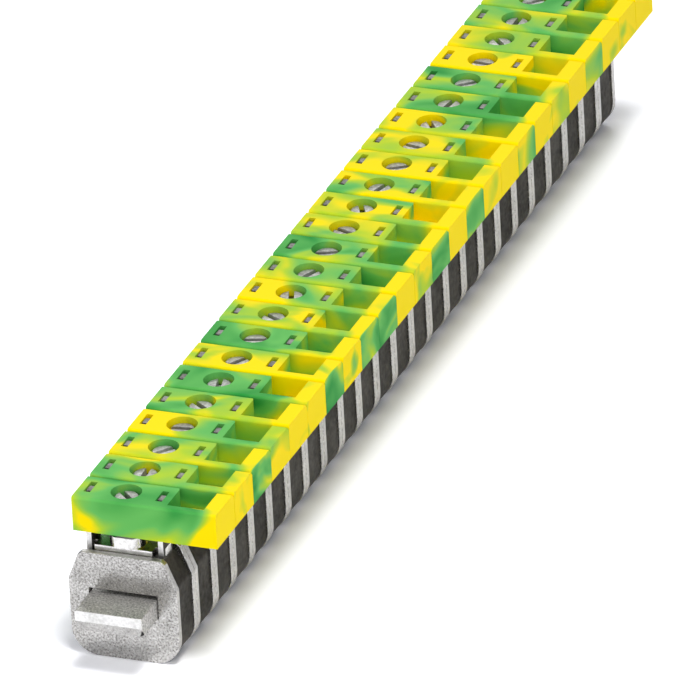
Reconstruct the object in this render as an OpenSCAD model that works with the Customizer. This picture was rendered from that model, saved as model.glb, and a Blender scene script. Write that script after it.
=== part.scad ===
// Earth terminal block: a row of screw clamps on a flat busbar.
// X runs across the row, Y along the busbar from the first clamp to the last, Z up.
// The origin is under the first clamp, in the plane that the cages stand on.

/* [Row] */
// Number of clamps on the bar
terminal_count = 25; // [2:1:28]
// Distance from one clamp to the next
pitch = 7; // [6:0.1:9]
// Gap left between neighbouring cages and between neighbouring caps
row_gap = 0.1; // [0.05:0.05:0.3]

/* [Busbar] */
// Width of the flat bar
bar_w = 10; // [8:0.5:14]
// Thickness of the flat bar
bar_t = 3; // [2:0.25:5]
// Bar standing out beyond the cages at each end
bar_overhang = 5.8; // [3:0.2:20]
// Radius of the long edges of the rolled bar
bar_edge_r = 0.2; // [0.1:0.05:0.8]
// Height of the broken part of a sheared end
break_h = 1.4; // [0.6:0.1:1.8]
// Depth by which the broken part of a sheared end falls back
break_depth = 0.4; // [0.1:0.05:0.8]

/* [Cage plates] */
// Thickness of a stamped plate
plate_t = 1; // [0.8:0.05:1.5]
// Plate beside the bar, on each side
plate_side = 3.1; // [2.6:0.1:5]
// Height of the underside of the bar above the foot of the cage
bar_seat_h = 7; // [5:0.25:9]
// Radius of the bottom corners
plate_corner_r = 4; // [3:0.25:5]
// Width of the bevel at a top corner
bevel_w = 1.8; // [0.8:0.1:2.4]
// Height of the bevel at a top corner
bevel_h = 4.4; // [3:0.1:5]
// Plate above the underside of the threaded bridge
plate_above_bridge = 0.35; // [0.2:0.05:1]
// Depth taken off the tip of a top corner
corner_ease = 0.25; // [0.1:0.05:0.5]
// Side play of the bar in its slot
slot_play = 0.1; // [0.1:0.05:0.4]
// Room above the bar in its slot
slot_headroom = 0.6; // [0.4:0.1:1.5]

/* [Cage strap] */
// Thickness of the bent sheet
sheet_t = 0.8; // [0.7:0.05:1.2]
// Depth of the strap below the edges of the plates
strap_inset = 0.3; // [0.1:0.05:0.5]
// Clear width between the two upright legs
leg_gap = 9.9; // [9:0.1:10.5]
// Width of a leg along the bar
leg_w = 3.4; // [2.8:0.1:4]
// Width of the tab at the end of a leg
tab_w = 2.2; // [1.6:0.1:2.8]
// Depth of the tab's end below the top of the cap
tab_recess = 0.2; // [0.1:0.1:1.5]
// Metal left beside the wire window
window_rail = 0.5; // [0.3:0.05:0.8]
// Metal left above and below the wire window
window_sill = 0.4; // [0.2:0.1:0.8]

/* [Threaded bridge] */
// Clear height for a wire between bar and bridge
wire_room = 5.8; // [4.5:0.1:8]
// Thickness of the bridge
bridge_t = 1.15; // [0.8:0.05:1.6]
// Play of the bridge between the plates and in the legs
bridge_play = 0.1; // [0.05:0.05:0.15]
// Gap between the body of the bridge and a leg
bridge_leg_gap = 0.65; // [0.3:0.05:1]
// Width of the end tabs that stand in the legs
bridge_tab_w = 2; // [1.4:0.1:2.2]
// Outside diameter of the drawn collar
collar_d = 5.4; // [5.2:0.1:6]
// Height of the collar above the bridge
collar_h = 1.5; // [1:0.1:2]

/* [Clamp screw] */
// Diameter of the screw
screw_d = 3.5; // [3:0.5:4]
// Length of the screw
screw_len = 8.4; // [8:0.1:9]
// Depth of the screw's end below the top of the cap, fully open
screw_recess = 0.7; // [0.4:0.1:1]
// Running play of the screw in the bridge
thread_play = 0.05; // [0.03:0.01:0.08]
// Width of the driver slot
driver_slot_w = 0.8; // [0.5:0.1:1]
// Depth of the driver slot
driver_slot_depth = 1.1; // [0.8:0.1:1.4]
// Length of the tapered tip
tip_len = 0.6; // [0.3:0.1:1]

/* [Cap] */
// Height of the cap
cap_h = 5.25; // [4.75:0.05:6.5]
// Free height between bridge and cap
cap_lift = 2.4; // [2:0.1:4]
// Plastic beyond the leg at the short end
cap_end_wall = 1.15; // [0.8:0.05:2]
// Wall of the moulding
cap_wall = 1.2; // [0.8:0.1:1.5]
// Diameter of the screwdriver hole
hole_d = 4.4; // [4.2:0.1:4.8]
// Play of the leg tabs in the cap, across the sheet
tab_play = 0.1; // [0.1:0.05:0.3]
// Play of the leg tabs in the cap, at each end of their slots
tab_end_play = 0.4; // [0.1:0.05:0.6]
// Height of the leg seats above the underside of the cap
seat_h = 0.75; // [0.5:0.05:1.2]
// Length of the marker pocket
pocket_len = 5.45; // [4:0.05:9]
// Depth of the marker pocket
pocket_depth = 3.2; // [2:0.1:3.5]
// Radius of the land's corner beside the marker pocket
land_corner_r = 1.2; // [0.4:0.1:1.6]
// Front wall of the marker pocket
pocket_wall = 1.2; // [0.8:0.1:1.6]
// Flat lip at the long end
lip_w = 2.2; // [0.8:0.1:3]
// Radius of the front top edge
cap_front_r = 0.4; // [0.2:0.05:0.8]
// Bevel of the back top edge
cap_back_bevel = 0.6; // [0.2:0.05:1]

/* [Hidden] */
$fn = 48;
eps = 0.5;

// Heights of the stack, from the foot of the cage up
bar_top = bar_seat_h + bar_t;
bridge_bottom = bar_top + wire_room;
bridge_top = bridge_bottom + bridge_t;
plate_h = bridge_bottom + plate_above_bridge;
cap_bottom = bridge_top + cap_lift;
cap_top = cap_bottom + cap_h;
seat_z = cap_bottom + seat_h;
tab_top = cap_top - tab_recess;
screw_top = cap_top - screw_recess;
screw_tip = screw_top - screw_len;

// Along the bar
cage_depth = pitch - row_gap;
cap_depth = pitch - row_gap;
strap_w = cage_depth - 2 * plate_t;
row_len = (terminal_count - 1) * pitch;
bar_start = -cage_depth / 2 - bar_overhang;
bar_len = row_len + cage_depth + 2 * bar_overhang;

// Across the row
plate_half = bar_w / 2 + plate_side;
strap_half = plate_half - strap_inset;
strap_r = plate_corner_r - strap_inset;
leg_in = leg_gap / 2;
leg_out = leg_in + sheet_t;
shoulder_low = plate_h - bevel_h;
shoulder_high = bridge_bottom - window_sill;
bend_turn = atan2(strap_half - leg_out, shoulder_high - shoulder_low);
cap_short_end = -(leg_out + cap_end_wall);
pocket_start = leg_out + cap_wall;
pocket_end = pocket_start + pocket_len;
cap_long_end = pocket_end + lip_w;

// Colours of the mouldings, repeated along the row
cap_colours = ["limegreen", "greenyellow", "limegreen", "yellow", "limegreen", "greenyellow", "gold"];

function two_digits(n) = n < 10 ? str("0", n) : str(n);
function cap_name(i) = str("cap_", two_digits(i));
function screw_name(i) = str("clamp_screw_", two_digits(i));
function terminal_y(i) = (i - 1) * pitch;
// Each screw was left at a different turn
function driver_turn(i) = (i * 137) % 180;

// Stands a profile drawn in X and Z upright and gives it a depth along Y, centred
module along_y(depth) {
    translate([0, depth / 2, 0])
        rotate([90, 0, 0])
            linear_extrude(depth)
                children();
}

// Stands a profile drawn in Y and Z upright and gives it a length along X
module along_x(from, to) {
    translate([from, 0, 0])
        rotate([90, 0, 90])
            linear_extrude(to - from)
                children();
}

// Body with a flat foot and round bottom corners, drawn in X and Z
module round_foot(half, foot, radius, top) {
    flat = half - radius;
    translate([-half, foot + radius])
        square([2 * half, top - foot - radius]);
    translate([-flat, foot])
        square([2 * flat, radius]);
    for (side = [-1, 1])
        translate([side * flat, foot + radius])
            circle(radius);
}

// Outline of a cage plate
module plate_outline() {
    top_half = plate_half - bevel_w;
    middle = plate_h / 2;
    tip_reach = norm([top_half, plate_h - middle]) - corner_ease;
    intersection() {
        union() {
            round_foot(plate_half, 0, plate_corner_r, shoulder_low);
            polygon([
                [-plate_half, shoulder_low],
                [plate_half, shoulder_low],
                [top_half, plate_h],
                [-top_half, plate_h]
            ]);
        }
        translate([0, middle])
            circle(tip_reach, $fn = 96);
    }
}

module bar_slot() {
    half = bar_w / 2 + slot_play;
    translate([-half, bar_seat_h])
        square([2 * half, bar_t + slot_headroom]);
}

module plate() {
    along_y(plate_t)
        difference() {
            plate_outline();
            bar_slot();
        }
}

// Face of the bent sheet, set back from the outer face by a depth
module strap_face(depth, top) {
    half = strap_half - depth;
    leg = leg_out - depth;
    drop = depth * tan(bend_turn / 2);
    round_foot(half, depth, strap_r - depth, shoulder_low - drop);
    polygon([
        [-half, shoulder_low - drop],
        [half, shoulder_low - drop],
        [leg, shoulder_high - drop],
        [leg, top],
        [-leg, top],
        [-leg, shoulder_high - drop]
    ]);
}

// Strap seen along X: full width to the shoulders, then legs, then tabs
module strap_side() {
    translate([-strap_w / 2, 0])
        square([strap_w, shoulder_high]);
    translate([-leg_w / 2, 0])
        square([leg_w, seat_z]);
    translate([-tab_w / 2, 0])
        square([tab_w, tab_top]);
}

module wire_window() {
    width = strap_w - 2 * window_rail;
    low = bar_top + window_sill;
    high = shoulder_high - window_sill;
    translate([-strap_half - eps, -width / 2, low])
        cube([strap_half - leg_in + eps, width, high - low]);
}

module bridge_windows() {
    width = bridge_tab_w + 2 * bridge_play;
    translate([-leg_out - eps, -width / 2, bridge_bottom])
        cube([2 * (leg_out + eps), width, bridge_t]);
}

module strap() {
    difference() {
        intersection() {
            along_y(strap_w)
                difference() {
                    strap_face(0, tab_top);
                    strap_face(sheet_t, tab_top + eps);
                }
            along_x(-plate_half, plate_half)
                strap_side();
        }
        wire_window();
        bridge_windows();
    }
}

module bridge() {
    body_half = leg_in - bridge_leg_gap;
    body_w = strap_w - 2 * bridge_play;
    difference() {
        union() {
            translate([-body_half, -body_w / 2, bridge_bottom])
                cube([2 * body_half, body_w, bridge_t]);
            translate([-leg_out, -bridge_tab_w / 2, bridge_bottom])
                cube([2 * leg_out, bridge_tab_w, bridge_t]);
            intersection() {
                translate([0, 0, bridge_bottom])
                    cylinder(d = collar_d, h = bridge_t + collar_h);
                translate([-collar_d, -body_w / 2, bridge_bottom])
                    cube([2 * collar_d, body_w, bridge_t + collar_h]);
            }
        }
        translate([0, 0, bridge_bottom - eps])
            cylinder(d = screw_d + 2 * thread_play, h = bridge_t + collar_h + 2 * eps);
    }
}

module screw(turn) {
    radius = screw_d / 2;
    edge = driver_slot_w / 4;
    translate([0, 0, screw_tip])
        difference() {
            rotate_extrude()
                polygon([
                    [0, 0],
                    [radius - tip_len / 2, 0],
                    [radius, tip_len],
                    [radius, screw_len - edge],
                    [radius - edge, screw_len],
                    [0, screw_len]
                ]);
            rotate([0, 0, turn])
                translate([-screw_d, -driver_slot_w / 2, screw_len - driver_slot_depth])
                    cube([2 * screw_d, driver_slot_w, screw_len]);
        }
}

// Cap seen along X: round front edge, bevelled back edge
module cap_side() {
    half = cap_depth / 2;
    translate([-half, cap_bottom])
        square([cap_depth, cap_h - cap_back_bevel - cap_front_r]);
    translate([-half + cap_front_r, cap_top - cap_front_r])
        circle(cap_front_r);
    polygon([
        [-half, cap_top - cap_back_bevel - cap_front_r],
        [half, cap_top - cap_back_bevel - cap_front_r],
        [half, cap_top - cap_back_bevel],
        [half - cap_back_bevel, cap_top],
        [-half + cap_front_r, cap_top],
        [-half + cap_front_r, cap_top - cap_front_r],
        [-half, cap_top - cap_front_r]
    ]);
}

// Marker pocket: a recess between land and lip, open towards the next cap
module marker_pocket() {
    translate([pocket_start, -cap_depth / 2 + pocket_wall, cap_top - pocket_depth])
        cube([pocket_len, cap_depth, pocket_depth + eps]);
    land_corner();
}

// What the round corner of the land leaves open beside the pocket
module land_corner() {
    corner_x = pocket_start - land_corner_r;
    corner_y = cap_depth / 2 - land_corner_r;
    translate([corner_x, corner_y, cap_top - pocket_depth])
        linear_extrude(pocket_depth + eps)
            difference() {
                square(land_corner_r + eps);
                circle(land_corner_r);
            }
}

// Hollow under the marker pocket, which leaves a floor as thick as the walls
module overhang_hollow() {
    length = cap_long_end - pocket_start - cap_wall;
    depth = cap_depth - 2 * cap_wall;
    translate([pocket_start, -depth / 2, cap_bottom - eps])
        cube([length, depth, cap_h - pocket_depth - cap_wall + eps]);
}

// Hollow for the collar and the screw, and the seats of the legs
module cap_hollows() {
    screw_room = leg_in - cap_wall / 2 - tab_play;
    depth = cap_depth - 2 * cap_wall;
    translate([-screw_room, -depth / 2, cap_bottom - eps])
        cube([2 * screw_room, depth, cap_h - 1.5 * cap_wall + eps]);
    for (side = [-1, 1])
        translate([side * (leg_in + leg_out) / 2, 0, 0]) {
            seat_x = sheet_t + 2 * tab_play;
            seat_y = leg_w + 2 * tab_play;
            slot_y = tab_w + 2 * tab_end_play;
            translate([-seat_x / 2, -seat_y / 2, cap_bottom - eps])
                cube([seat_x, seat_y, seat_h + eps]);
            translate([-seat_x / 2, -slot_y / 2, cap_bottom])
                cube([seat_x, slot_y, cap_h + eps]);
        }
}

module cap() {
    difference() {
        along_x(cap_short_end, cap_long_end)
            cap_side();
        translate([0, 0, cap_bottom])
            cylinder(d = hole_d, h = cap_h + eps);
        cap_hollows();
        marker_pocket();
        overhang_hollow();
    }
}

module busbar() {
    color("gainsboro")
        translate([0, bar_start + bar_len / 2, bar_seat_h])
            difference() {
                along_y(bar_len)
                    rounded_bar();
                for (turn = [0, 180])
                    rotate([0, 0, turn])
                        sheared_end();
            }
}

// What breaks away below the cut when an end of the bar is sheared
module sheared_end() {
    end = bar_len / 2;
    along_x(-bar_w, bar_w)
        polygon([
            [end, break_h],
            [end + eps, break_h],
            [end + eps, -eps],
            [end - break_depth * (1 + eps / break_h), -eps]
        ]);
}

// Section of the rolled bar
module rounded_bar() {
    half = bar_w / 2 - bar_edge_r;
    translate([-half, 0])
        square([2 * half, bar_t]);
    translate([-bar_w / 2, bar_edge_r])
        square([bar_w, bar_t - 2 * bar_edge_r]);
    for (side = [-1, 1], height = [bar_edge_r, bar_t - bar_edge_r])
        translate([side * half, height])
            circle(bar_edge_r);
}

module cage_straps() {
    color("dimgray")
        for (i = [1:terminal_count])
            translate([0, terminal_y(i), 0])
                strap();
}

module slotted_plates() {
    color("lightgray")
        for (i = [1:terminal_count], side = [-1, 1])
            translate([0, terminal_y(i) + side * (strap_w + plate_t) / 2, 0])
                plate();
}

module threaded_bridges() {
    color("silver")
        for (i = [1:terminal_count])
            translate([0, terminal_y(i), 0])
                bridge();
}

module terminal_cap(i) {
    color(cap_colours[i % len(cap_colours)])
        translate([0, terminal_y(i), 0])
            cap();
}

module clamp_screw(i) {
    color("gray")
        translate([0, terminal_y(i), 0])
            screw(driver_turn(i));
}

busbar();
cage_straps();
slotted_plates();
threaded_bridges();
for (i = [1:terminal_count]) {
    terminal_cap(i);
    clamp_screw(i);
}
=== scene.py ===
# %% [markdown]
# # Earth terminal block
# A row of screw clamps stands side by side on a flat busbar. Each clamp has a steel cage, a threaded
# bridge, a slotted screw and a cap of green and yellow plastic. The solids come in as a fixed frame, in
# metres. This lesson gives them soft edges, finishes, a floor, light and the camera of the photograph.

import math

import bmesh
import bpy
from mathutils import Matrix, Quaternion, Vector


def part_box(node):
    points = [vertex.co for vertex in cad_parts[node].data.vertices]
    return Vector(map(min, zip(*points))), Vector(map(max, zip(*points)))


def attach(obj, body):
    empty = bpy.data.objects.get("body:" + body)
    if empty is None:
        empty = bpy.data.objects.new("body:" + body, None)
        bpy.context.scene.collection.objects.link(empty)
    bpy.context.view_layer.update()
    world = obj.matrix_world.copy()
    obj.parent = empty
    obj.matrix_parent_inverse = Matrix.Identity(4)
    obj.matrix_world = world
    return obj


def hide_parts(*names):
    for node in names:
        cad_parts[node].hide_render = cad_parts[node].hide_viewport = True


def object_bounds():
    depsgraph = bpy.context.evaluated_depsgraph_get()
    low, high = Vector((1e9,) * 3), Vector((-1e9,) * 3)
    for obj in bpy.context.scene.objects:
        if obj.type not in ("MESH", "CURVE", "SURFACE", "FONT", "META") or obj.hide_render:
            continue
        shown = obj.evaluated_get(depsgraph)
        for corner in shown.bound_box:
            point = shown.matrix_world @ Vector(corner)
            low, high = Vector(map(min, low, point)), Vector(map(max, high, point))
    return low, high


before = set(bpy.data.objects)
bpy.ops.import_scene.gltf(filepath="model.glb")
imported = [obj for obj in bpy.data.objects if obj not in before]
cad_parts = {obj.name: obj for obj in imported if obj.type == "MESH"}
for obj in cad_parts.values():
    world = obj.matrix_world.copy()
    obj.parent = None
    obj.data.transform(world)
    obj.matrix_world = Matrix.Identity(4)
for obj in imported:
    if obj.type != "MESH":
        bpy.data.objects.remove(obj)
cad_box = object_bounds()
scene = bpy.context.scene
MM = 0.001
cap_nodes = sorted(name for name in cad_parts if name.startswith("cap_"))
screw_nodes = sorted(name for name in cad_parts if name.startswith("clamp_screw_"))
print("caps", len(cap_nodes), "screws", len(screw_nodes), "box", cad_box)

# %% [markdown]
# ## Node helpers
# A finish is a small tree of shader nodes. It could be put together by hand in the shader editor, but a
# script can be read and changed. These helpers add a node with its values and join sockets, so that each
# finish below reads as a short list of steps.

# %% Helpers for shader nodes


def add_node(tree, kind, values=None, **settings):
    node = tree.nodes.new(kind)
    for key, value in settings.items():
        setattr(node, key, value)
    for key, value in (values or {}).items():
        node.inputs[key].default_value = value
    return node


def join(tree, source, target):
    tree.links.new(source, target)


def maths(tree, operation, first, second):
    node = add_node(tree, "ShaderNodeMath", operation=operation)
    join(tree, first, node.inputs[0])
    join(tree, second, node.inputs[1])
    return node.outputs[0]


def colour_ramp(tree, factor, stops):
    node = add_node(tree, "ShaderNodeValToRGB")
    ramp = node.color_ramp
    while len(ramp.elements) < len(stops):
        ramp.elements.new(1.0)
    for element, (place, colour) in zip(ramp.elements, stops):
        element.position = place
        element.color = (*colour, 1.0)
    join(tree, factor, node.inputs["Fac"])
    return node.outputs["Color"]


# %% [markdown]
# ## Groups, materials and colours
# An effect that several materials share is a node group with named inputs and outputs: it is built once,
# and each material sets its own values. Colours are easiest to read off a picture as screen values from
# 0 to 255. A shader works with linear light, so the standard screen curve is undone here.

# %% Helpers for groups, materials and colours


def new_group(name, inputs, outputs):
    tree = bpy.data.node_groups.new(name, "ShaderNodeTree")
    for label, kind in inputs:
        tree.interface.new_socket(label, in_out="INPUT", socket_type=kind)
    for label, kind in outputs:
        tree.interface.new_socket(label, in_out="OUTPUT", socket_type=kind)
    return tree, tree.nodes.new("NodeGroupInput"), tree.nodes.new("NodeGroupOutput")


def new_material(name):
    material = bpy.data.materials.new(name)
    material.use_nodes = True
    tree = material.node_tree
    return material, tree, tree.nodes["Principled BSDF"]


def srgb(red, green, blue):
    def linear(value):
        value /= 255
        return value / 12.92 if value <= 0.04045 else ((value + 0.055) / 1.055) ** 2.4

    return linear(red), linear(green), linear(blue)


# %% [markdown]
# ## Marbled plastic
# The caps are moulded from green and yellow resin that is not fully mixed, so each cap has broad soft
# swirls of both. They could be painted on an image, but then they would stop at every edge. A noise in
# space runs through the whole cap, as the resin does. It is distorted, so that it flows.

# %% Swirls of the resin
FLOAT = "NodeSocketFloat"
COLOUR = "NodeSocketColor"
VECTOR = "NodeSocketVector"
SWIRL_STRETCH = (0.75, 1.0, 1.1)
SWIRL = {"Scale": 105.0, "Detail": 1.8, "Roughness": 0.45, "Distortion": 0.8}

resin, resin_in, resin_out = new_group(
    "marbled resin",
    [("Place", VECTOR), ("Middle", VECTOR), ("Batch", VECTOR),
     ("Yellow", FLOAT), ("Yellow Lip", FLOAT), ("Green End", FLOAT), ("Yellow Short End", FLOAT)],
    [("Colour", COLOUR), ("Skin", FLOAT)],
)
stretch = add_node(resin, "ShaderNodeMapping", {"Scale": SWIRL_STRETCH})
join(resin, resin_in.outputs["Place"], stretch.inputs["Vector"])
join(resin, resin_in.outputs["Batch"], stretch.inputs["Location"])
swirl = add_node(resin, "ShaderNodeTexNoise", SWIRL)
join(resin, stretch.outputs["Vector"], swirl.inputs["Vector"])
flow = maths(resin, "ADD", swirl.outputs["Fac"], resin_in.outputs["Yellow"])
print("resin inputs", [socket.name for socket in resin_in.outputs if socket.name])

# %% [markdown]
# ## Flow towards the ends
# The resin that reaches the far corners of the mould comes from another part of the mix: most lips are
# yellow, some outer ends are green and some short ends are yellow. A mask for each could be painted, but
# a line through the middle of the cap is enough. How far a point lies along it raises the mask smoothly.

# %% Masks along three lines
FLOW_LINES = [
    ("Yellow Lip", (1.0, 0.5, -0.35), 5.0 * MM, 8.0 * MM),
    ("Green End", (1.0, 0.0, -0.1), 10.2 * MM, 10.7 * MM),
    ("Yellow Short End", (-1.0, 0.0, 0.0), 1.9 * MM, 7.9 * MM),
]
from_middle = add_node(resin, "ShaderNodeVectorMath", operation="SUBTRACT")
join(resin, resin_in.outputs["Place"], from_middle.inputs[0])
join(resin, resin_in.outputs["Middle"], from_middle.inputs[1])
for amount, line, start, end in FLOW_LINES:
    along = add_node(resin, "ShaderNodeVectorMath", {1: line}, operation="DOT_PRODUCT")
    join(resin, from_middle.outputs["Vector"], along.inputs[0])
    rise = add_node(
        resin, "ShaderNodeMapRange", {"From Min": start, "From Max": end}, interpolation_type="SMOOTHSTEP"
    )
    join(resin, along.outputs["Value"], rise.inputs["Value"])
    share = maths(resin, "MULTIPLY", rise.outputs["Result"], resin_in.outputs[amount])
    flow = maths(resin, "ADD", flow, share)
print("flow masks", len(FLOW_LINES))

# %% [markdown]
# ## Colours of the resin
# Where the two resins meet they blend, so there is a yellow-green between them, and the green is deeper
# where it is pure. A mix of two colours would miss that, so a ramp with four stops turns the flow into
# colour. A fine noise stands for the slight unevenness of moulded plastic.

# %% Colour and skin
DEEP_GREEN = srgb(36, 142, 60)
GREEN = srgb(102, 185, 92)
LIME = srgb(176, 206, 48)
YELLOW = srgb(252, 224, 0)
RESIN_STOPS = [(0.22, DEEP_GREEN), (0.4, GREEN), (0.52, LIME), (0.62, YELLOW)]
SKIN = {"Scale": 2600.0, "Detail": 2.0}

skin = add_node(resin, "ShaderNodeTexNoise", SKIN)
join(resin, resin_in.outputs["Place"], skin.inputs["Vector"])
join(resin, colour_ramp(resin, flow, RESIN_STOPS), resin_out.inputs["Colour"])
join(resin, skin.outputs["Fac"], resin_out.inputs["Skin"])
print("resin group nodes", len(resin.nodes))

# %% [markdown]
# ## A material for each cap
# No two caps have the same swirls, but the row has a rhythm of greener and yellower ones. One material
# could serve all caps if it read a number from each object. A material per cap is plainer: each has its
# own batch, which is a place in the noise, and its own balance. The plastic is dull, with little shine.

# %% The material of a cap
SKIN_BUMP = {"Strength": 0.12, "Distance": 0.05 * MM}
CAP_ROUGHNESS = 0.5
CAP_SPECULAR = 0.04
BATCH_STEP = Vector((0.031, 0.017, 0.023))
# Each balance gives Yellow, Yellow Lip and Yellow Short End.
CAP_BALANCE = {
    "green": (-0.1, 0.24, 0.0),
    "green, yellow lip": (-0.08, 0.3, 0.02),
    "lime": (0.01, 0.22, 0.0),
    "yellow left": (-0.03, 0.24, 0.2),
    "yellow": (0.09, 0.12, 0.0),
}


def marbled_plastic(name, look, end, batch, middle):
    material, tree, surface = new_material(name)
    place = add_node(tree, "ShaderNodeTexCoord")
    mix = add_node(tree, "ShaderNodeGroup", node_tree=resin)
    mix.inputs["Batch"].default_value = BATCH_STEP * batch
    mix.inputs["Middle"].default_value = middle
    for socket, value in zip(("Yellow", "Yellow Lip", "Yellow Short End"), CAP_BALANCE[look]):
        mix.inputs[socket].default_value = value
    mix.inputs["Green End"].default_value = end
    join(tree, place.outputs["Object"], mix.inputs["Place"])
    join(tree, mix.outputs["Colour"], surface.inputs["Base Color"])
    bump = add_node(tree, "ShaderNodeBump", SKIN_BUMP)
    join(tree, mix.outputs["Skin"], bump.inputs["Height"])
    join(tree, bump.outputs["Normal"], surface.inputs["Normal"])
    surface.inputs["Roughness"].default_value = CAP_ROUGHNESS
    surface.inputs["Specular IOR Level"].default_value = CAP_SPECULAR
    return material


# %% [markdown]
# ## Soft edges
# No edge of a real moulding or stamping is perfectly sharp: a narrow round catches the light and draws
# the outline. Each round could be cut into the mesh, but a Bevel modifier finds the sharp edges by itself.
# The solids arrive as loose triangles, so a copy is merged and its flat faces are joined again. Narrow
# faces are shaded smooth, because they make up the rounds, and wide ones stay flat.

# %% A copy of a solid with soft edges
MERGE_DISTANCE = 0.002 * MM
FLAT_ANGLE = math.radians(0.5)
SHARP_ANGLE = math.radians(28)
FLAT_WIDTH = 0.9 * MM
EDGE_SEGMENTS = 2
ROUND_PROFILE = 0.5


def merged_solid(node):
    bm = bmesh.new()
    bm.from_mesh(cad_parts[node].data)
    bmesh.ops.remove_doubles(bm, verts=bm.verts, dist=MERGE_DISTANCE)
    bmesh.ops.dissolve_limit(bm, angle_limit=FLAT_ANGLE, verts=bm.verts, edges=bm.edges)
    return bm


def mean_width(face):
    return 4 * face.calc_area() / face.calc_perimeter()


def merged_mesh(node, name, reshape):
    bm = merged_solid(node)
    if reshape:
        reshape(bm)
    narrow = [mean_width(face) < FLAT_WIDTH for face in bm.faces]
    mesh = bpy.data.meshes.new(name)
    bm.to_mesh(mesh)
    bm.free()
    mesh.set_sharp_from_angle(angle=SHARP_ANGLE)
    mesh.polygons.foreach_set("use_smooth", narrow)
    return mesh


def soft_copy(node, name, edge, material, reshape=None):
    piece = bpy.data.objects.new(name, merged_mesh(node, name, reshape))
    scene.collection.objects.link(piece)
    bevel = piece.modifiers.new("soft edges", "BEVEL")
    bevel.limit_method = "ANGLE"
    bevel.angle_limit = SHARP_ANGLE
    bevel.width = edge
    bevel.segments = EDGE_SEGMENTS
    bevel.profile = ROUND_PROFILE
    piece.data.materials.append(material)
    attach(piece, "root")
    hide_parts(node)
    return piece


# %% [markdown]
# ## The row of caps
# Every cap is the same moulding, with a screw hole, two slots for the tabs of the cage and a pocket for a
# marker. The solids hold all that, so a cap needs only soft edges and its plastic. The looks follow the
# caps of the photograph from the front to the back, and a few caps have a green outer end.

# %% Dress the caps
CAP_EDGE = 0.18 * MM
GREEN_END = -0.34
GREEN_ENDS = (3, 7, 9, 10, 13, 15, 18, 22)
CAP_LOOKS = [
    "green, yellow lip", "lime", "green, yellow lip", "yellow left", "green, yellow lip",
    "green, yellow lip", "yellow", "green", "lime", "yellow left",
    "green, yellow lip", "green", "lime", "yellow", "yellow",
    "yellow", "lime", "yellow", "green, yellow lip", "green",
    "yellow", "lime", "green, yellow lip", "green, yellow lip", "lime",
]
for index, node in enumerate(cap_nodes):
    number = node.split("_")[1]
    look = CAP_LOOKS[index % len(CAP_LOOKS)]
    end = GREEN_END if index + 1 in GREEN_ENDS else 0.0
    low_corner, high_corner = (Vector(corner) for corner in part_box(node))
    middle = (low_corner + high_corner) / 2
    material = marbled_plastic("marbled plastic " + number, look, end, index + 1, middle)
    cap = soft_copy(node, "marbled_cap_" + number, CAP_EDGE, material)
print("caps dressed", len(cap_nodes))

# %% [markdown]
# ## Plated steel
# The plates, the bridges and the bar are plated and a little grainy, and the bent straps are smooth rolled
# sheet, whose dark tone is partly painted shade for the shaded floor that the sheet mirrors. A picture of
# metal would repeat and blur close up, so noise makes the surface.
# One group serves all: a fine grain and a broad cloudiness are mixed, then set between two tones.

# %% Grain and tone
SPECK = {"Detail": 3.0, "Roughness": 0.6}
CLOUD = {"Detail": 2.0, "Distortion": 0.5}
GRAIN_CONTRAST = {"From Min": 0.34, "From Max": 0.66}

grain, grain_in, grain_out = new_group(
    "plated grain",
    [("Place", VECTOR), ("Grain Scale", FLOAT), ("Cloud Scale", FLOAT), ("Cloud Share", FLOAT),
     ("Dark", COLOUR), ("Light", COLOUR), ("Roughest", FLOAT), ("Smoothest", FLOAT)],
    [("Colour", COLOUR), ("Height", FLOAT), ("Roughness", FLOAT)],
)
speck = add_node(grain, "ShaderNodeTexNoise", SPECK)
cloud = add_node(grain, "ShaderNodeTexNoise", CLOUD)
for texture, scale in ((speck, "Grain Scale"), (cloud, "Cloud Scale")):
    join(grain, grain_in.outputs["Place"], texture.inputs["Vector"])
    join(grain, grain_in.outputs[scale], texture.inputs["Scale"])
both = add_node(grain, "ShaderNodeMix")
join(grain, grain_in.outputs["Cloud Share"], both.inputs["Factor"])
join(grain, speck.outputs["Fac"], both.inputs["A"])
join(grain, cloud.outputs["Fac"], both.inputs["B"])
spread = add_node(grain, "ShaderNodeMapRange", GRAIN_CONTRAST)
join(grain, both.outputs["Result"], spread.inputs["Value"])
tone = add_node(grain, "ShaderNodeMix", data_type="RGBA")
join(grain, spread.outputs["Result"], tone.inputs["Factor"])
join(grain, grain_in.outputs["Dark"], tone.inputs["A"])
join(grain, grain_in.outputs["Light"], tone.inputs["B"])
print("grain inputs", [socket.name for socket in grain_in.outputs if socket.name])

# %% [markdown]
# ## Roughness of the grain
# Dark grains are small pits and shine less than the bright tops between them. One roughness for the whole
# piece would look like paint, so the same mix that sets the tone also sets the roughness.

# %% Roughness and outputs
rough = add_node(grain, "ShaderNodeMapRange")
join(grain, spread.outputs["Result"], rough.inputs["Value"])
join(grain, grain_in.outputs["Roughest"], rough.inputs["To Min"])
join(grain, grain_in.outputs["Smoothest"], rough.inputs["To Max"])
join(grain, tone.outputs["Result"], grain_out.inputs["Colour"])
join(grain, speck.outputs["Fac"], grain_out.inputs["Height"])
join(grain, rough.outputs["Result"], grain_out.inputs["Roughness"])
print("grain group nodes", len(grain.nodes))

# %% [markdown]
# ## The metal finishes
# The parts of a clamp differ in plating, and a cut face differs from a rolled one. Each finish is the
# group above with its own tones, grain and roughness, so the metals look related, as on the real clamp.
# The fine grain also raises the surface a little by way of a Bump node.

# %% A material for each metal
GRAIN_BUMP = 0.5
ROUGHNESS_SPREAD = 0.07
CLOUD_TO_GRAIN = 0.12
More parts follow.
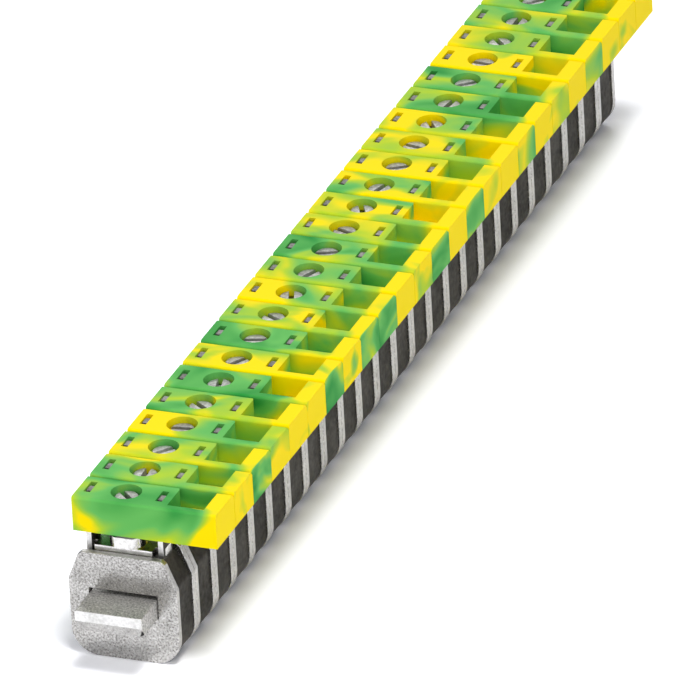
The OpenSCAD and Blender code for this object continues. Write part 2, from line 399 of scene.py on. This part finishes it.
# Name, darkest tone, lightest tone, grains to the metre, share of cloud, depth of grain, roughness.
METAL_LOOKS = [
    ("plated bar", (140, 138, 134), (240, 238, 235), 3200, 0.15, 0.04 * MM, 0.55),
    ("plated plate", (112, 110, 106), (206, 204, 201), 3200, 0.2, 0.03 * MM, 0.26),
    # Painted shade: the dark tone of the strap sheet partly stands in for the shaded floor that it mirrors.
    ("rolled sheet with painted shade", (56, 54, 50), (84, 81, 76), 1500, 0.5, 0.01 * MM, 0.7),
    ("bright plating", (190, 188, 184), (232, 231, 229), 1800, 0.4, 0.01 * MM, 0.2),
    ("zinc plating", (160, 158, 154), (212, 211, 208), 2000, 0.4, 0.02 * MM, 0.6),
    ("clean cut", (196, 195, 192), (234, 233, 231), 2400, 0.4, 0.01 * MM, 0.42),
    # Painted shade: the floor and walls of the driver slot are darkened for the shade in the slot.
    ("driver slot", (60, 59, 57), (104, 102, 99), 2000, 0.4, 0.02 * MM, 0.6),
    ("broken cut", (136, 134, 131), (196, 194, 191), 3600, 0.3, 0.04 * MM, 0.5),
    ("sheared edge", (168, 166, 163), (200, 198, 195), 2400, 0.4, 0.006 * MM, 0.45),
    ("sheared tab", (122, 120, 116), (166, 164, 160), 2400, 0.4, 0.01 * MM, 0.6),
    # Painted shade: the faces of the chipped corner are near black, for the shade in the notch.
    ("torn corner painted shade", (20, 19, 18), (48, 46, 44), 3600, 0.3, 0.04 * MM, 0.7),
]


def plated_steel(name, dark, light, grain_scale, cloud_share, bump_depth, roughness):
    material, tree, surface = new_material(name)
    place = add_node(tree, "ShaderNodeTexCoord")
    plating = add_node(tree, "ShaderNodeGroup", {
        "Grain Scale": grain_scale,
        "Cloud Scale": grain_scale * CLOUD_TO_GRAIN,
        "Cloud Share": cloud_share,
        "Dark": (*srgb(*dark), 1.0),
        "Light": (*srgb(*light), 1.0),
        "Roughest": roughness + ROUGHNESS_SPREAD,
        "Smoothest": roughness - ROUGHNESS_SPREAD,
    }, node_tree=grain)
    join(tree, place.outputs["Object"], plating.inputs["Place"])
    join(tree, plating.outputs["Colour"], surface.inputs["Base Color"])
    join(tree, plating.outputs["Roughness"], surface.inputs["Roughness"])
    bump = add_node(tree, "ShaderNodeBump", {"Strength": GRAIN_BUMP, "Distance": bump_depth})
    join(tree, plating.outputs["Height"], bump.inputs["Height"])
    join(tree, bump.outputs["Normal"], surface.inputs["Normal"])
    surface.inputs["Metallic"].default_value = 1.0
    return material


metal_finish = {look[0]: plated_steel(*look) for look in METAL_LOOKS}
print("metal finishes", list(metal_finish))

# %% [markdown]
# ## Bends and tabs of a strap
# A strap is bent from sheet, so the outside of each bend is round, and the die rounds the corners of the
# tabs. The Bevel modifier has one width for a whole piece, so these wider rounds are bevelled first, on
# edges that are chosen by their direction and angle. The top of each wire window lies so close to a bend
# that its soft edge would fold over, so it first slides a little way down the sloping shoulder.

# %% Round the strap
BEND_ROUND = 1.0 * MM
BEND_LIMIT = math.radians(60)
FULL_BEND = 4.0 * MM
TAB_ROUND = 0.6 * MM
ROUND_SEGMENTS = 4
TOP_LAYER = 0.05 * MM
WINDOW_TOP = 15.0 * MM
WINDOW_DROP = 0.15 * MM
SHOULDER_SLOPE = 0.562
STRAIGHT = 0.99
X_AXIS = 0
Y_AXIS = 1


def runs_along(edge, axis):
    return abs((edge.verts[1].co - edge.verts[0].co).normalized()[axis]) > STRAIGHT


def round_edges(bm, edges, offset, segments):
    bmesh.ops.bevel(
        bm, geom=edges, offset=offset, segments=segments, profile=ROUND_PROFILE, affect="EDGES",
        material=-1, clamp_overlap=True,
    )


def lower_window_top(bm):
    corners = set()
    for face in bm.faces:
        at_top = abs(face.calc_center_median().z - WINDOW_TOP) < TOP_LAYER
        if at_top and face.normal.z < -STRAIGHT:
            corners.update(face.verts)
    slide = Vector((-SHOULDER_SLOPE, 0, -1)) * WINDOW_DROP
    bmesh.ops.translate(bm, verts=list(corners), vec=slide)
    print("window corners lowered", len(corners))


def is_outer_bend(edge):
    full_width = runs_along(edge, Y_AXIS) and edge.calc_length() > FULL_BEND
    return full_width and edge.is_convex and SHARP_ANGLE < edge.calc_face_angle() < BEND_LIMIT


def round_strap(bm):
    lower_window_top(bm)
    round_edges(bm, [edge for edge in bm.edges if is_outer_bend(edge)], BEND_ROUND, ROUND_SEGMENTS)
    top = max(vert.co.z for vert in bm.verts) - TOP_LAYER
    tab_edges = [
        edge for edge in bm.edges
        if runs_along(edge, X_AXIS) and all(vert.co.z > top for vert in edge.verts)
    ]
    round_edges(bm, tab_edges, TAB_ROUND, ROUND_SEGMENTS)


# %% [markdown]
# ## The chipped corner of the bar
# The shear has torn a small chip out of one lower corner at the front end of the bar. The long edges of
# the bar are round already, so a bevel on the corner would hardly show. One cut with a slanting plane takes
# the corner off, and the hole is filled again. The same cut will trim the thread of the screws.

# %% Chip the bar
CHIP_WIDTH = 0.8 * MM
CHIP_DEPTH = 1.0 * MM
CHIP_HEIGHT = 1.3 * MM


def cut_away(bm, point, outward):
    geometry = [*bm.verts, *bm.edges, *bm.faces]
    bmesh.ops.bisect_plane(bm, geom=geometry, plane_co=point, plane_no=outward, clear_outer=True)
    bmesh.ops.holes_fill(bm, edges=[edge for edge in bm.edges if edge.is_boundary])
    bmesh.ops.recalc_face_normals(bm, faces=bm.faces)


def chip_bar(bm):
    near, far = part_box("busbar")
    point = (far[0] - CHIP_WIDTH, near[1], near[2])
    outward = Vector((1 / CHIP_WIDTH, -1 / CHIP_DEPTH, -1 / CHIP_HEIGHT))
    cut_away(bm, point, outward.normalized())


# %% [markdown]
# ## The metal pieces
# A cage is a bent strap between two stamped plates, with a tapped bridge above the bar. They are alike in
# every clamp, so each kind came in as one node for the whole row and is dressed in one go. Stamped plates
# have the widest soft edge, from the die. The strap has the narrowest, as its sheet is thin.

# %% Dress the metal pieces
# Node, name of the piece, soft edge, finish, slot, change of shape.
METAL_PIECES = [
    ("busbar", "flat_busbar", 0.08 * MM, "plated bar", "bar", chip_bar),
    ("slotted_plates", "stamped_plates", 0.14 * MM, "plated plate", "plate", None),
    # The straps get the rolled sheet, whose dark tone is partly painted shade.
    ("cage_straps", "bent_straps", 0.053 * MM, "rolled sheet with painted shade", "strap", round_strap),
    ("threaded_bridges", "tapped_bridges", 0.1 * MM, "bright plating", "bridge", None),
]
metal_piece = {}
for node, name, edge, look, slot, reshape in METAL_PIECES:
    metal_piece[name] = soft_copy(node, name, edge, metal_finish[look], reshape)
    print(name, len(metal_piece[name].data.polygons), "faces")

# %% [markdown]
# ## Cut faces
# Shears and dies leave a different face from the rolled or plated one: bright where the tool cut, dull
# where the metal broke away. Where a corner tore off, the faces get painted shade, near black, for the
# shade in the notch. The faces could be picked by hand, but they can be told apart by the way they look:
# along the row, across it or up.

# %% Finish the cut faces
SQUARE_ON = 0.99
BROKEN_FROM = 0.8
TORN_FROM = 0.3
EDGE_BELOW = 0.5
tab_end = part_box("cage_straps")[1][2] - TOP_LAYER


def along_row(face):
    return abs(face.normal.y)


FACE_FINISHES = [
    ("flat_busbar", "clean cut", lambda face: along_row(face) > SQUARE_ON),
    ("flat_busbar", "broken cut", lambda face: BROKEN_FROM < along_row(face) < SQUARE_ON),
    # The faces of the chipped corner get painted shade.
    ("flat_busbar", "torn corner painted shade", lambda face: TORN_FROM < along_row(face) < BROKEN_FROM),
    ("stamped_plates", "sheared edge", lambda face: along_row(face) < EDGE_BELOW),
    ("bent_straps", "clean cut", lambda face: along_row(face) > SQUARE_ON),
    ("bent_straps", "sheared tab", lambda face: face.center.z > tab_end),
]
for name, look, is_cut in FACE_FINISHES:
    mesh = metal_piece[name].data
    number = len(mesh.materials)
    mesh.materials.append(metal_finish[look])
    faces = [face for face in mesh.polygons if is_cut(face)]
    for face in faces:
        face.material_index = number
    print(name, len(faces), "faces of", look)

# %% [markdown]
# ## Thread of a screw
# The solid of a screw is a plain cylinder, which stands in for a fine thread. A Screw modifier could sweep
# a thread, but the spin operator does it in one step: a zigzag line turns once round the axis and rises
# by one pitch, so that each tooth ends where the next begins. The merge that spin offers would join a tooth
# to itself, so the doubles are merged afterwards. Two flat cuts then trim the thread to length.

# %% The thread
THREAD_PITCH = 0.6 * MM
THREAD_DEPTH = 0.3 * MM
THREAD_STEPS = 32
SPARE_TURNS = 2
# A tooth climbs, runs flat along its crest, falls and rests at the root, in shares of the pitch.
CREST_START = 0.4
CREST_END = 0.5
ROOT_START = 0.9
UP = Vector((0, 0, 1))
DOWN = Vector((0, 0, -1))


def thread_between(axis, crest, bottom, top):
    bm = bmesh.new()
    root = crest - THREAD_DEPTH
    start = bottom - SPARE_TURNS * THREAD_PITCH
    turns = math.ceil((top - start) / THREAD_PITCH) + 1
    tooth = ((0.0, root), (CREST_START, crest), (CREST_END, crest), (ROOT_START, root))
    line = [
        bm.verts.new((axis.x + radius, axis.y, start + (turn + part) * THREAD_PITCH))
        for turn in range(turns) for part, radius in tooth
    ]
    edges = [bm.edges.new(pair) for pair in zip(line, line[1:])]
    bmesh.ops.spin(
        bm, geom=line + edges, cent=(axis.x, axis.y, 0), axis=UP,
        dvec=(0, 0, THREAD_PITCH / THREAD_STEPS), angle=math.tau, steps=THREAD_STEPS,
    )
    bmesh.ops.remove_doubles(bm, verts=bm.verts, dist=MERGE_DISTANCE)
    cut_away(bm, (0, 0, bottom), DOWN)
    cut_away(bm, (0, 0, top), UP)
    return bm


# %% [markdown]
# ## Ends of a screw
# The plain tip and the slotted end of a screw are as in the solid, so they are cut from a copy of it. The
# thread needs no soft edges, so the bevel is made here on the two ends alone, and not by a modifier.

# %% Tip and slotted end
SLOTTED_END = 1.3 * MM
PLAIN_TIP = 0.6 * MM
SCREW_EDGE = 0.07 * MM


def solid_end(node, height, outward):
    bm = merged_solid(node)
    cut_away(bm, (0, 0, height), outward)
    sharp = [edge for edge in bm.edges if edge.is_manifold and edge.calc_face_angle() > SHARP_ANGLE]
    round_edges(bm, sharp, SCREW_EDGE, EDGE_SEGMENTS)
    return bm


# %% [markdown]
# ## Whole screws
# A screw is the tip, the thread and the slotted end, one above the other. Joining them with a Boolean would
# be slow and bring nothing, because they only touch at flat cuts. The floor and walls of the driver slot
# get painted shade, a darker finish of their own that stands in for the shade in the slot: they are the
# faces of the end that lie inside the rim and do not look away from the axis.

# %% Make the screws
RADIAL = 0.9


def screw_mesh(node, name, axis, crest, tip_end, slot_end):
    mesh = bpy.data.meshes.new(name)
    whole = bmesh.new()
    sections = (
        solid_end(node, tip_end, UP),
        thread_between(axis, crest, tip_end, slot_end),
        solid_end(node, slot_end, DOWN),
    )
    for section in sections:
        section.to_mesh(mesh)
        section.free()
        whole.from_mesh(mesh)
    whole.to_mesh(mesh)
    whole.free()
    mesh.shade_smooth()
    mesh.set_sharp_from_angle(angle=SHARP_ANGLE)
    mesh.materials.append(metal_finish["zinc plating"])
    # The second finish is painted shade for the floor and walls of the driver slot.
    mesh.materials.append(metal_finish["driver slot"])
    return mesh


def threaded_screw(node, name, body):
    bottom, top = (Vector(corner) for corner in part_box(node))
    axis = (bottom + top) / 2
    crest = top.x - axis.x
    slot_end = top.z - SLOTTED_END
    mesh = screw_mesh(node, name, axis, crest, bottom.z + PLAIN_TIP, slot_end)
    # The faces inside the slot get the painted shade of the slot.
    for face in mesh.polygons:
        side = Vector(face.center.xy) - Vector(axis.xy)
        in_end = slot_end < face.center.z < top.z - SCREW_EDGE
        inside_rim = side.length < crest - SCREW_EDGE
        outward = abs(face.normal.xy.normalized().dot(side.normalized()))
        if in_end and inside_rim and outward < RADIAL:
            face.material_index = 1
    screw = bpy.data.objects.new(name, mesh)
    scene.collection.objects.link(screw)
    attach(screw, body)
    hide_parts(node)
    return screw


screws = []
for node in screw_nodes:
    number = node.split("_")[-1]
    screws.append(threaded_screw(node, "threaded_screw_" + number, "screw_" + number))
print("screws", len(screws), "faces each", len(screws[0].data.polygons))

# %% [markdown]
# ## Floor
# The photograph has a white ground with a soft shadow. A plane just under the block catches the shadow.
# More light would make it white, but would also wash out the block. A Light Path node lets the camera and
# reflections see a paler floor than the one that throws light back on the block.

# %% Floor
FLOOR_SIZE = 6.0
FLOOR_GAP = 0.01 * MM
FLOOR_COLOUR = (0.9, 0.9, 0.9, 1.0)
FLOOR_AS_SEEN = (1.28, 1.285, 1.32, 1.0)

low, high = (Vector(corner) for corner in cad_box)
floor_bm = bmesh.new()
bmesh.ops.create_grid(floor_bm, x_segments=1, y_segments=1, size=FLOOR_SIZE / 2)
bmesh.ops.translate(floor_bm, verts=floor_bm.verts, vec=(0, 0, low.z - FLOOR_GAP))
floor_mesh = bpy.data.meshes.new("floor")
floor_bm.to_mesh(floor_mesh)
floor_bm.free()
floor = bpy.data.objects.new("floor", floor_mesh)
scene.collection.objects.link(floor)
floor_material, floor_tree, floor_surface = new_material("white floor")
floor_tree.nodes.remove(floor_surface)
ray = add_node(floor_tree, "ShaderNodeLightPath")
matt = add_node(floor_tree, "ShaderNodeBsdfDiffuse", {"Color": FLOOR_COLOUR})
bright = add_node(floor_tree, "ShaderNodeBsdfDiffuse", {"Color": FLOOR_AS_SEEN})
floor_look = add_node(floor_tree, "ShaderNodeMixShader")
seen = maths(floor_tree, "ADD", ray.outputs["Is Camera Ray"], ray.outputs["Is Glossy Ray"])
seen = maths(floor_tree, "ADD", seen, ray.outputs["Is Transmission Ray"])
join(floor_tree, seen, floor_look.inputs["Fac"])
join(floor_tree, matt.outputs["BSDF"], floor_look.inputs[1])
join(floor_tree, bright.outputs["BSDF"], floor_look.inputs[2])
join(floor_tree, floor_look.outputs["Shader"], floor_tree.nodes["Material Output"].inputs["Surface"])
floor_mesh.materials.append(floor_material)
print("floor at", round((low.z - FLOOR_GAP) / MM, 3), "mm")

# %% [markdown]
# ## Light
# Small goods are photographed between large soft boxes, which give soft shadows and broad bright patches
# on metal. One lamp would leave the cages black. Five area lamps stand round the block: the key light high
# up at the right and in front, and weaker ones in front, at the left, behind and at the right. A faint
# cool sky fills what they leave dark.

# %% Sky and soft boxes
SKY_COLOUR = (0.93, 0.97, 1.1, 1.0)
SKY_STRENGTH = 0.16
# Name, place from the middle of the row and size in metres, power in watts.
SOFT_BOXES = [
    ("key light", (0.27, -0.26, 1.05), 0.30, 8.2),
    ("front light", (-0.05, -1.0, 0.28), 0.80, 3.2),
    ("left light", (-0.95, -0.30, 0.45), 0.60, 2.8),
    ("back light", (-0.50, 0.95, 0.65), 0.70, 4.0),
    ("side light", (0.80, -0.40, 0.32), 0.60, 2.2),
]
world = bpy.data.worlds.new("studio")
scene.world = world
world.use_nodes = True
background = world.node_tree.nodes["Background"]
background.inputs["Color"].default_value = SKY_COLOUR
background.inputs["Strength"].default_value = SKY_STRENGTH
row_middle = (low + high) / 2
for name, offset, size, power in SOFT_BOXES:
    lamp_data = bpy.data.lights.new(name, "AREA")
    lamp_data.size = size
    lamp_data.energy = power
    lamp = bpy.data.objects.new(name, lamp_data)
    lamp.location = row_middle + Vector(offset)
    lamp.rotation_euler = (-Vector(offset)).to_track_quat("-Z", "Y").to_euler()
    scene.collection.objects.link(lamp)
print("soft boxes", len(SOFT_BOXES))

# %% [markdown]
# ## Camera
# The photograph is a long-lens view along the row, from in front, a little to the right and above. A camera
# could be set by eye, but a row of equal clamps gives its place away. Direction, tilt and distance were
# fitted to the even spacing of the clamps and the section of the bar.

# %% Camera
CAMERA_AZIMUTH = math.radians(22.57)
CAMERA_ELEVATION = math.radians(27.07)
CAMERA_ROLL = math.radians(3.27)
CAMERA_DISTANCE = 2332.4 * MM
CAMERA_AIM = Vector((9.08, 58.16, 20.55)) * MM
# Lens and sensor are in millimetres, as Blender asks for them.
CAMERA_LENS = 874.6
SENSOR_WIDTH = 36.0
VIEW_DEPTH = 20.0

view_line = Vector((
    -math.sin(CAMERA_AZIMUTH) * math.cos(CAMERA_ELEVATION),
    math.cos(CAMERA_AZIMUTH) * math.cos(CAMERA_ELEVATION),
    -math.sin(CAMERA_ELEVATION),
))
camera_data = bpy.data.cameras.new("camera")
camera_data.lens = CAMERA_LENS
camera_data.sensor_width = SENSOR_WIDTH
camera_data.clip_end = VIEW_DEPTH
camera = bpy.data.objects.new("camera", camera_data)
camera.location = CAMERA_AIM - view_line * CAMERA_DISTANCE
level = view_line.to_track_quat("-Z", "Y")
camera.rotation_euler = (level @ Quaternion((0, 0, 1), -CAMERA_ROLL)).to_euler()
scene.collection.objects.link(camera)
scene.camera = camera
scene.view_settings.view_transform = "Standard"
print("camera at", [round(value, 3) for value in camera.location])
